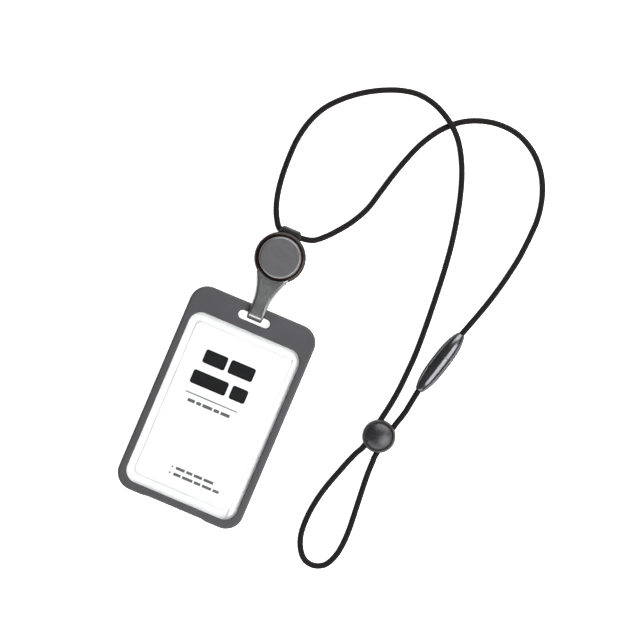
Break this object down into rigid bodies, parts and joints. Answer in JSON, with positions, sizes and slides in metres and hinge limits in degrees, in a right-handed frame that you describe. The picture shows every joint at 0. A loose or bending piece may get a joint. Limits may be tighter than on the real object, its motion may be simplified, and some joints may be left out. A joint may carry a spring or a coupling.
{
  "type": "lanyard badge holder",
  "caption": "Framed card holder hung from a retractable reel by a hook strap, on a round neck cord with a cord lock and a breakaway clasp.",
  "frame": {"origin": "on the surface it lies on, under the middle of the holder, strap and reel", "axes": "+Y up the holder towards the reel, +X to the right seen from the front, +Z out of the card's face"},
  "size_m": [0.1519, 0.252, 0.0118],
  "materials": {
    "holder_plastic": "fine matte moulded texture",
    "liner_white": "satin",
    "clear_pane": "clear",
    "card_white": "smooth laminated",
    "strap_metal": "satin coated zinc",
    "cap_metal": "satin coated",
    "reel_plastic": "glossy moulded",
    "clip_metal": "satin coated steel",
    "steel": "bright",
    "brass": "bright",
    "spool_plastic": "satin",
    "spring_steel": "blued",
    "line_black": "braided",
    "lock_ring_plastic": "satin moulded",
    "lock_cap_plastic": "satin, turned",
    "clasp_plastic": "high gloss",
    "cord_black": "round braided cord"
  },
  "bodies": {
    "reel": {"reel_back_shell": "reel_plastic", "reel_front_shell": "reel_plastic", "reel_cap": "cap_metal", "reel_axle": "steel", "power_spring": "spring_steel", "line_eyelet": "steel", "line_lead": "line_black", "clip_rail": "steel", "rail_screws": "steel", "lanyard_cord": "cord_black", "lanyard_tail": "cord_black", "clasp_lower": "clasp_plastic", "lower_ferrule": "steel"},
    "spool": {"reel_spool": "spool_plastic", "wound_line": "line_black"},
    "clip": {"clip_plate": "clip_metal", "clip_rod": "steel", "clip_spring": "spring_steel"},
    "strap": {"strap_hook": "strap_metal", "line_crimp": "brass"},
    "holder": {"holder_frame": "holder_plastic", "holder_back": "holder_plastic", "holder_liner": "liner_white", "window_pane": "clear_pane"},
    "card": {"id_card": "card_white"},
    "lock": {"lock_housing": "lock_ring_plastic", "lock_spring": "spring_steel"},
    "lock_button": {"lock_button": "lock_cap_plastic"},
    "clasp_upper": {"clasp_upper": "clasp_plastic", "upper_ferrule": "steel"}
  },
  "joints": [
    {"name": "strap_pull", "type": "slide", "parent": "reel", "child": "strap", "axis": [0, -1, 0], "range_m": [0, 0.6], "stiffness_N_per_m": 1.5, "springref_m": -0.4, "deforming": ["line_lead"]},
    {"name": "spool_spin", "type": "hinge", "parent": "reel", "child": "spool", "pos_m": [0, 0.0625, 0.0072], "axis": [0, 0, -1], "range_deg": [0, 4300], "deforming": ["power_spring"]},
    {"name": "holder_swing", "type": "hinge", "parent": "strap", "child": "holder", "pos_m": [0, 0.0326, 0.0042], "axis": [-1, 0, 0], "range_deg": [-90, 110]},
    {"name": "card_slide", "type": "slide", "parent": "holder", "child": "card", "axis": [0, -1, 0], "range_m": [0, 0.085]},
    {"name": "clip_slide", "type": "slide", "parent": "reel", "child": "clip", "axis": [0, 1, 0], "range_m": [0, 0.004], "stiffness_N_per_m": 900, "springref_m": -0.003, "deforming": ["clip_spring"]},
    {"name": "lock_slide", "type": "slide", "parent": "reel", "child": "lock", "axis": [0.1736, 0.9848, 0], "range_m": [-0.003, 0.005]},
    {"name": "lock_press", "type": "slide", "parent": "lock", "child": "lock_button", "axis": [0, 0, -1], "range_m": [0, 0.0014], "stiffness_N_per_m": 1500, "springref_m": -0.002, "deforming": ["lock_spring"]},
    {"name": "clasp_part", "type": "slide", "parent": "reel", "child": "clasp_upper", "axis": [0.2504, 0.9681, 0], "range_m": [0, 0.012], "deforming": ["lanyard_tail"]}
  ],
  "couplings": [
    {"joint": "spool_spin", "follows": "strap_pull", "rad_per_m": 125}
  ]
}
